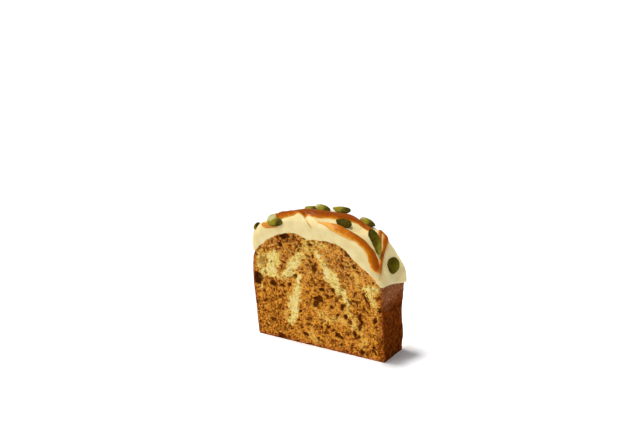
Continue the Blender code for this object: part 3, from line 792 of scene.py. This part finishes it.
def seed_points(seed, number):
    """One hulled pumpkin seed: flat, blunt at one end and pointed at the other, with a faint rim."""
    blunt, tip, roll, width, thickness, bend, pale = seed
    ends = []
    for run, depth, height in (blunt, tip):
        spot, _, _, up = icing_frame(np.array(run), np.array(depth))
        ends.append((spot + up * height, up))
    axis = ends[1][0] - ends[0][0]
    length = np.linalg.norm(axis)
    forward = axis / length
    side = np.cross(ends[0][1] + ends[1][1], forward)
    side /= np.linalg.norm(side)
    up = np.cross(forward, side)
    turn = np.array(Matrix.Rotation(math.radians(roll), 3, Vector(forward)))
    side = turn @ side
    up = turn @ up
    t = 0.5 - 0.5 * np.cos(np.linspace(0.05, np.pi - 0.02, SEED_RINGS))
    around = np.linspace(0, 2 * np.pi, SEED_SIDES, endpoint=False)
    oval = np.clip(1 - (2 * t - 1) ** 2, 0, 1)
    half = width / 2 * np.sqrt(oval) * (1 - 0.38 * np.clip(2 * t - 1, 0, 1) ** 1.5) * (1 + 0.14 * (0.5 - t))
    deep = thickness / 2 * oval ** 0.45 * (1 - 0.3 * t)
    c = np.cos(around)[None, :]
    s = np.sin(around)[None, :]
    wide = half[:, None] * np.sign(c) * np.abs(c) ** 0.9
    groove = 1 - 0.13 * np.exp(-((np.abs(c) - 0.82) / 0.09) ** 2)
    high = deep[:, None] * np.sign(s) * np.abs(s) * groove
    high = high + bend * (4 * (t[:, None] - 0.5) ** 2 - 0.5)
    high = high + 0.08 * value_noise(wide, 9 * t[:, None] + 7 * number, 2.2, 601)
    long = (t[:, None] - 0.5) * length + 0 * c
    middle = (ends[0][0] + ends[1][0]) / 2
    table = middle + long[..., None] * forward + wide[..., None] * side + high[..., None] * up
    rightward = (table - middle)[..., 0] / length
    # Painted light: the seed is painted paler on its side towards the light, as much as its pale value says
    lit = ramp(0.3, -0.2, rightward) if pale > 0 else ramp(-0.1, 0.45, rightward)
    return table, np.abs(c) + 0 * t[:, None], t[:, None] + 0 * c, abs(pale) * lit


def seeds_piece(material):
    """All the pumpkin seeds as one mesh."""
    spots = []
    faces = []
    uvs = []
    values = {"rim": [], "length": [], "pale": []}
    start = 0
    for k, seed in enumerate(SEEDS):
        table, rim, t, pale = seed_points(seed, k)
        ids = start + np.arange(SEED_RINGS * SEED_SIDES).reshape(SEED_RINGS, SEED_SIDES)
        closed = np.concatenate([ids, ids[:, :1]], 1)
        tile = np.array([(k % 3) / 3, (k // 3) / 3])
        u = tile[0] + 0.02 + 0.29 * np.linspace(0, 1, SEED_RINGS)[:, None]
        v = tile[1] + 0.02 + 0.29 * np.linspace(0, 1, SEED_SIDES + 1)[None, :]
        spots.append(table.reshape(-1, 3))
        faces += [grid_faces(closed)[:, ::-1], ids[:1, :], ids[-1:, ::-1]]
        caps = [np.full((1, SEED_SIDES, 2), tile + edge) for edge in (0.02, 0.31)]
        uvs += [quad_places(u, v)[:, ::-1], *caps]
        values["rim"].append(rim.ravel())
        values["length"].append(t.ravel())
        values["pale"].append(pale.ravel())
        start += SEED_RINGS * SEED_SIDES
    values = {key: np.concatenate(parts) for key, parts in values.items()}
    return make_piece("pumpkin_seeds", np.concatenate(spots), faces, uvs, values, material)


# Materials

def rgb(r, g, b):
    """A display colour of 0 to 255 a channel as the linear colour that a shader takes."""
    channels = [c / 255 for c in (r, g, b)]
    return (*[c / 12.92 if c <= 0.04045 else ((c + 0.055) / 1.055) ** 2.4 for c in channels], 1.0)


class Finish:
    """A node material and short ways to add nodes to it."""

    def __init__(self, name):
        self.material = bpy.data.materials.new(name)
        self.material.use_nodes = True
        self.nodes = self.material.node_tree.nodes
        self.links = self.material.node_tree.links
        self.shader = self.nodes["Principled BSDF"]
        self.place = self.nodes.new("ShaderNodeTexCoord").outputs["Object"]

    def put(self, value, socket):
        """Links another node's output to a socket, or sets the socket to a value."""
        if isinstance(value, bpy.types.NodeSocket):
            self.links.new(value, socket)
        else:
            socket.default_value = value

    def value(self, name):
        """A value kept at the piece's points."""
        node = self.nodes.new("ShaderNodeAttribute")
        node.attribute_name = name
        return node.outputs["Fac"]

    def along(self, axis):
        """The place along an axis, in metres."""
        node = self.nodes.new("ShaderNodeSeparateXYZ")
        self.links.new(self.place, node.inputs["Vector"])
        return node.outputs[axis]

    def texture(self, kind, size_mm):
        """A texture node whose bumps or cells are about that many mm wide."""
        node = self.nodes.new(kind)
        self.links.new(self.place, node.inputs["Vector"])
        node.inputs["Scale"].default_value = 1000 / size_mm
        return node

    def noise(self, size_mm, detail=3.0, rough=0.5):
        """Cloudy noise, mostly between 0.3 and 0.7."""
        node = self.texture("ShaderNodeTexNoise", size_mm)
        node.inputs["Detail"].default_value = detail
        node.inputs["Roughness"].default_value = rough
        return node.outputs["Fac"]

    def specks(self, size_mm):
        """The distance to the nearest of scattered points, in cells."""
        return self.texture("ShaderNodeTexVoronoi", size_mm).outputs["Distance"]

    def grains(self, size_mm):
        """Cells of one random value each."""
        return self.texture("ShaderNodeTexVoronoi", size_mm).outputs["Color"]

    def span(self, value, low, high, out_low=0.0, out_high=1.0):
        """Brings one range of a value smoothly to another."""
        node = self.nodes.new("ShaderNodeMapRange")
        node.interpolation_type = "SMOOTHSTEP"
        self.put(value, node.inputs["Value"])
        node.inputs["From Min"].default_value = low
        node.inputs["From Max"].default_value = high
        node.inputs["To Min"].default_value = out_low
        node.inputs["To Max"].default_value = out_high
        return node.outputs["Result"]

    def sum(self, a, b, operation="ADD"):
        """Two values added, or put together by another operation."""
        node = self.nodes.new("ShaderNodeMath")
        node.operation = operation
        self.put(a, node.inputs[0])
        self.put(b, node.inputs[1])
        return node.outputs["Value"]

    def times(self, a, b):
        """Two values multiplied."""
        return self.sum(a, b, "MULTIPLY")

    def mix(self, a, b, share):
        """A colour that goes from a to b as the share goes from 0 to 1."""
        node = self.nodes.new("ShaderNodeMix")
        node.data_type = "RGBA"
        self.put(share, node.inputs["Factor"])
        self.put(a, node.inputs["A"])
        self.put(b, node.inputs["B"])
        return [s for s in node.outputs if s.type == "RGBA"][0]

    def bump(self, height, distance_mm, strength, below=None):
        """Normals bent by a height, on top of the bumps below it."""
        node = self.nodes.new("ShaderNodeBump")
        self.put(height, node.inputs["Height"])
        node.inputs["Distance"].default_value = distance_mm * MM
        node.inputs["Strength"].default_value = strength
        if below is not None:
            self.links.new(below, node.inputs["Normal"])
        return node.outputs["Normal"]

    def finish(self, **sockets):
        """The material, with its shader's sockets set."""
        for key, value in sockets.items():
            self.put(value, self.shader.inputs[key.replace("_", " ")])
        return self.material


def crumb_material():
    """Golden brown crumb with pale cream cheese and a dark baked crust, and painted shade in its pores and
    hollows.
    """
    f = Finish("crumb_finish")
    grains = f.span(f.grains(0.95), 0.0, 1.0, -0.26, 0.26)
    tone = f.sum(f.value("tone"), f.sum(grains, f.span(f.noise(0.9, 3), 0.3, 0.7, -0.2, 0.2)))
    tone = f.sum(tone, f.span(f.noise(4.5, 4, 0.6), 0.3, 0.7, -0.22, 0.22))
    rosy = f.times(f.span(f.noise(1.3, 2), 0.42, 0.58), f.span(f.along("Z"), 0.03, 0.075, 0.35, 0.8))
    light = f.mix(rgb(236, 159, 47), rgb(230, 173, 99), rosy)
    brown = f.mix(rgb(120, 50, 0), light, f.span(tone, -0.2, 1.1))
    tan = f.mix(rgb(177, 109, 20), rgb(238, 190, 90), f.span(tone, -0.2, 0.9))
    pale = f.mix(rgb(206, 170, 60), rgb(245, 222, 138), f.span(tone, -0.2, 0.8))
    pale = f.mix(pale, rgb(240, 222, 166), f.span(f.noise(5, 3), 0.5, 0.66, 0.0, 0.7))
    colour = f.mix(brown, tan, f.span(f.value("cream"), 0.05, 0.55))
    colour = f.mix(colour, pale, f.span(f.value("cream"), 0.45, 0.95))
    toast = f.mix(rgb(116, 48, 6), rgb(206, 118, 52), f.span(tone, -0.2, 1.0))
    colour = f.mix(colour, toast, f.times(f.value("toasted"), 0.85))
    # Painted shade: pits and hollows, and scattered pore spots that have no hollow, are painted dark brown,
    # or paler tan in cream cheese.
    painted_pores = f.span(f.specks(1.0), 0.42, 0.16)
    shut = f.span(f.noise(2.2, 2), 0.42, 0.58)
    pit = f.sum(f.span(f.value("pit"), 0.1, 1.1), f.times(f.times(painted_pores, shut), 0.6), "MAXIMUM")
    cream_pore_shade = f.times(f.span(f.value("cream"), 0.5, 0.95), f.span(f.value("pit"), 1.4, 3.0, 1.0, 0.1))
    pore_shade = f.mix(rgb(84, 30, 2), rgb(168, 124, 40), cream_pore_shade)
    colour = f.mix(colour, pore_shade, f.times(pit, 0.85))
    crust = f.mix(rgb(74, 28, 0), rgb(132, 63, 14), f.span(f.noise(2.6, 5, 0.65), 0.35, 0.68))
    fleck = f.times(f.span(f.noise(1.5, 4, 0.6), 0.48, 0.66), f.value("high"))
    crust = f.mix(crust, rgb(142, 84, 50), f.times(f.value("high"), 0.75))
    crust = f.mix(crust, rgb(196, 140, 100), f.times(fleck, 0.75))
    colour = f.mix(colour, crust, f.value("crust"))
    grain = f.bump(f.noise(0.6, 3, 0.6), 0.3, 0.9)
    grain = f.bump(f.times(pit, -1.0), 0.5, 0.7, grain)
    return f.finish(Base_Color=colour, Roughness=0.9, Normal=grain, Specular_IOR_Level=0.01)


def icing_material():
    """Soft cream icing that lets a little light through."""
    f = Finish("icing_finish")
    colour = f.mix(rgb(227, 205, 142), rgb(237, 219, 161), f.span(f.noise(7, 3), 0.3, 0.7))
    spilt = f.mix(rgb(222, 164, 64), rgb(196, 124, 28), f.span(f.value("stain"), 0.3, 0.8))
    colour = f.mix(colour, spilt, f.span(f.value("stain"), 0.0, 0.8))
    grain = f.bump(f.noise(1.6, 4, 0.55), 0.10, 0.4)
    return f.finish(Base_Color=colour, Roughness=0.45, Normal=grain, Specular_IOR_Level=0.3,
                    Subsurface_Weight=0.2, Subsurface_Radius=(1.0, 0.7, 0.35), Subsurface_Scale=0.0015)


def caramel_material():
    """Glossy caramel, deep orange brown where it is thick and golden at its thin edges."""
    f = Finish("caramel_finish")
    thick = f.sum(f.value("thick"), f.span(f.noise(3, 3), 0.3, 0.7, -0.12, 0.12))
    colour = f.mix(rgb(232, 168, 74), rgb(194, 108, 8), f.span(thick, 0.2, 0.6))
    colour = f.mix(colour, rgb(164, 78, 0), f.span(thick, 0.6, 1.0))
    colour = f.mix(colour, rgb(142, 65, 0), f.span(thick, 1.0, 1.35))
    return f.finish(Base_Color=colour, Roughness=0.34, Specular_IOR_Level=0.05, Coat_Weight=0.03,
                    Coat_Roughness=0.12, Subsurface_Weight=0.12, Subsurface_Radius=(1.0, 0.4, 0.05),
                    Subsurface_Scale=0.0012)


def seed_material():
    """Satin green seeds with browner rims, and painted light: paler patches and a painted sheen on their lit
    side.
    """
    f = Finish("pumpkin_seed_finish")
    green = f.mix(rgb(54, 44, 2), rgb(82, 71, 8), f.span(f.noise(2.4, 4), 0.3, 0.7))
    # Painted light: the pale value paints a lit side and a grey green sheen onto the seed
    patch = f.times(f.value("pale"), f.span(f.noise(4, 2), 0.35, 0.65, 0.55, 1.0))
    green = f.mix(green, rgb(138, 125, 28), f.span(patch, 0.0, 0.6))
    green = f.mix(green, rgb(186, 177, 122), f.span(patch, 0.55, 1.0))
    green = f.mix(green, rgb(62, 46, 0), f.span(f.value("rim"), 0.85, 1.0, 0.0, 0.5))
    green = f.mix(green, rgb(140, 124, 30), f.span(f.value("length"), 0.92, 1.0, 0.0, 0.5))
    grain = f.bump(f.noise(0.9, 3), 0.08, 0.5)
    return f.finish(Base_Color=green, Roughness=0.5, Normal=grain, Specular_IOR_Level=0.03)


def floor_material():
    """White floor that gives off a little light just in front of the slice, so that no shade lies there."""
    f = Finish("floor_finish")
    colour = f.mix((0.96, 0.96, 0.96, 1), (0.98, 0.98, 0.98, 1), f.noise(400, 2))
    ahead = f.span(f.along("Y"), *GLOW_AHEAD, 0.0, FLOOR_GLOW)
    beside = f.times(f.span(f.along("X"), *GLOW_LEFT), f.span(f.along("X"), *GLOW_RIGHT, 1.0, 0.0))
    return f.finish(Base_Color=colour, Roughness=0.9, Emission_Color=(1, 1, 1, 1),
                    Emission_Strength=f.times(ahead, beside))


# Studio

def direction(azimuth, height):
    """The way from the slice to an azimuth, where 0 is straight in front, and a height, in degrees."""
    a = math.radians(azimuth)
    h = math.radians(height)
    return Vector((math.sin(a) * math.cos(h), -math.cos(a) * math.cos(h), math.sin(h)))


def add_camera():
    """The camera, which looks at its aim from its distance and is rolled about its own axis."""
    azimuth = math.radians(CAMERA_AZIMUTH)
    roll = math.radians(CAMERA_ROLL)
    back = direction(CAMERA_AZIMUTH, CAMERA_ELEVATION)
    right = Vector((math.cos(azimuth), math.sin(azimuth), 0))
    up = back.cross(right)
    place = right * CAMERA_AIM[0] + up * CAMERA_AIM[1] + back * CAMERA_DISTANCE
    turned_right = right * math.cos(roll) + up * math.sin(roll)
    turned_up = up * math.cos(roll) - right * math.sin(roll)
    turn = Matrix((turned_right, turned_up, back)).transposed().to_4x4()
    data = bpy.data.cameras.new("camera")
    data.lens = CAMERA_LENS
    data.sensor_width = CAMERA_SENSOR
    data.clip_start = 0.01
    camera = bpy.data.objects.new("camera", data)
    camera.matrix_world = Matrix.Translation(place) @ turn
    bpy.context.scene.collection.objects.link(camera)
    bpy.context.scene.camera = camera


def add_sun(name, azimuth, height, strength, spread):
    """A sun at a place in the sky, with the angle over which its light is spread."""
    data = bpy.data.lights.new(name, "SUN")
    data.energy = strength
    data.angle = math.radians(spread)
    sun = bpy.data.objects.new(name, data)
    sun.rotation_euler = direction(azimuth, height).to_track_quat("Z", "Y").to_euler()
    bpy.context.scene.collection.objects.link(sun)


def add_studio():
    """The white world, the suns and the floor."""
    scene = bpy.context.scene
    scene.view_settings.view_transform = "Standard"
    world = bpy.data.worlds.new("studio")
    world.use_nodes = True
    background = world.node_tree.nodes["Background"]
    background.inputs["Color"].default_value = (1, 1, 1, 1)
    background.inputs["Strength"].default_value = WORLD_STRENGTH
    scene.world = world
    for sun in SUNS:
        add_sun(*sun)
    mesh = bpy.data.meshes.new("floor")
    corners = [(a * FLOOR_REACH, b * FLOOR_REACH, 0) for a, b in ((-1, -1), (1, -1), (1, 1), (-1, 1))]
    mesh.from_pydata(corners, [], [(0, 1, 2, 3)])
    mesh.materials.append(floor_material())
    floor = bpy.data.objects.new("floor", mesh)
    scene.collection.objects.link(floor)


def main():
    """Makes everything, hangs the pieces on the root body and hides the solids that they stand in for."""
    add_camera()
    add_studio()
    crumb = crumb_piece(crumb_material())
    icing = icing_piece(icing_material())
    caramel = caramel_material()
    ribbons = [ribbon_piece(f"caramel_ribbon_{k + 1}", *ribbon, RIBBON_SEED + RIBBON_SEED_STEP * k, caramel)
               for k, ribbon in enumerate(CARAMEL)]
    seeds = seeds_piece(seed_material())
    for piece in (crumb, icing, *ribbons, seeds):
        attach(piece, "root")
    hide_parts("crumb")
    for piece in (icing, *ribbons, seeds):
        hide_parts("frosting")


main()
